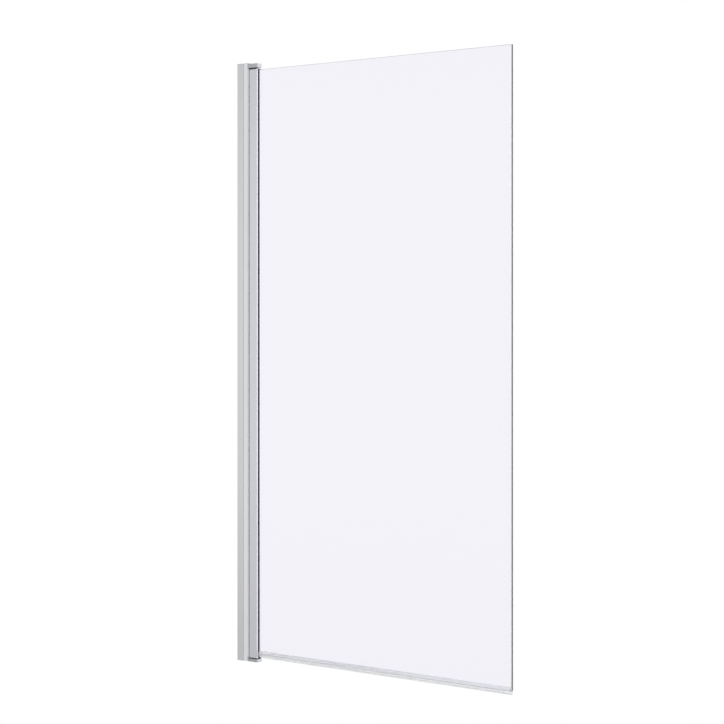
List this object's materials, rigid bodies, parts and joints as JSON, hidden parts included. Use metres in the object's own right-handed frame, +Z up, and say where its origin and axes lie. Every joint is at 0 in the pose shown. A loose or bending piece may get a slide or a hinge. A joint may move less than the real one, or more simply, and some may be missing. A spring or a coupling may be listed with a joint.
{
  "type": "bath screen",
  "caption": "Pivoting bath screen: clear glass held in a slim silver post that swings between brackets on an adjustable wall profile, with a clear seal along its lower edge.",
  "frame": {"origin": "on the wall face of the wall channel, at its foot and in the middle of its depth", "axes": "+X from the wall along the glass with the screen straight out, +Y through the glass towards the rear side, where the locking screws are, +Z up"},
  "size_m": [0.8, 0.026, 1.4],
  "materials": {
    "wall_profile_aluminium": "bright silver anodised extrusion with faint drawing lines",
    "adjuster_aluminium": "bright silver anodised extrusion with faint drawing lines",
    "post_aluminium": "bright silver anodised extrusion, satin, with faint drawing lines",
    "cover_moulding": "silver-grey moulding, semi-gloss",
    "soft_strip": "light grey soft PVC extrusion, satin",
    "bracket_casting": "zinc die casting, polished and plated",
    "pin_steel": "turned stainless steel",
    "pivot_nylon": "black glass-filled nylon, matt",
    "screw_steel": "stainless steel, tumbled",
    "cup_moulding": "light grey nylon",
    "cap_moulding": "silver-grey moulding, semi-gloss",
    "clear_glass": "clear toughened glass with ground arrises, faintly cool in tone",
    "glazing_rubber": "dark grey glazing gasket, satin",
    "setting_block_plastic": "natural polypropylene, translucent white",
    "clear_seal_plastic": "clear flexible PVC extrusion, glossy, slightly milky"
  },
  "bodies": {
    "wall_side": {"wall_channel": "wall_profile_aluminium", "adjuster_profile": "adjuster_aluminium", "wall_profile_top_cover": "cover_moulding", "hinge_gap_seal": "soft_strip", "top_hinge_bracket": "bracket_casting", "bottom_hinge_bracket": "bracket_casting", "top_hinge_pin": "pin_steel", "bottom_hinge_pin": "pin_steel", "thrust_washer": "pivot_nylon", "bracket_screws": "screw_steel", "adjuster_screws": "screw_steel", "screw_cup_washers": "cup_moulding", "screw_cover_caps": "cap_moulding"},
    "swinging_panel": {"pivot_post": "post_aluminium", "top_pivot_plug": "pivot_nylon", "bottom_pivot_plug": "pivot_nylon", "top_pivot_washer": "pivot_nylon", "glass_panel": "clear_glass", "front_glazing_gasket": "glazing_rubber", "rear_glazing_gasket": "glazing_rubber", "glass_setting_blocks": "setting_block_plastic", "bottom_seal": "clear_seal_plastic"}
  },
  "joints": [
    {"name": "panel_swing", "type": "hinge", "parent": "wall_side", "child": "swinging_panel", "pos_m": [0.041, 0, 0], "axis": [0, 0, 1], "range_deg": [-90, 90]}
  ]
}
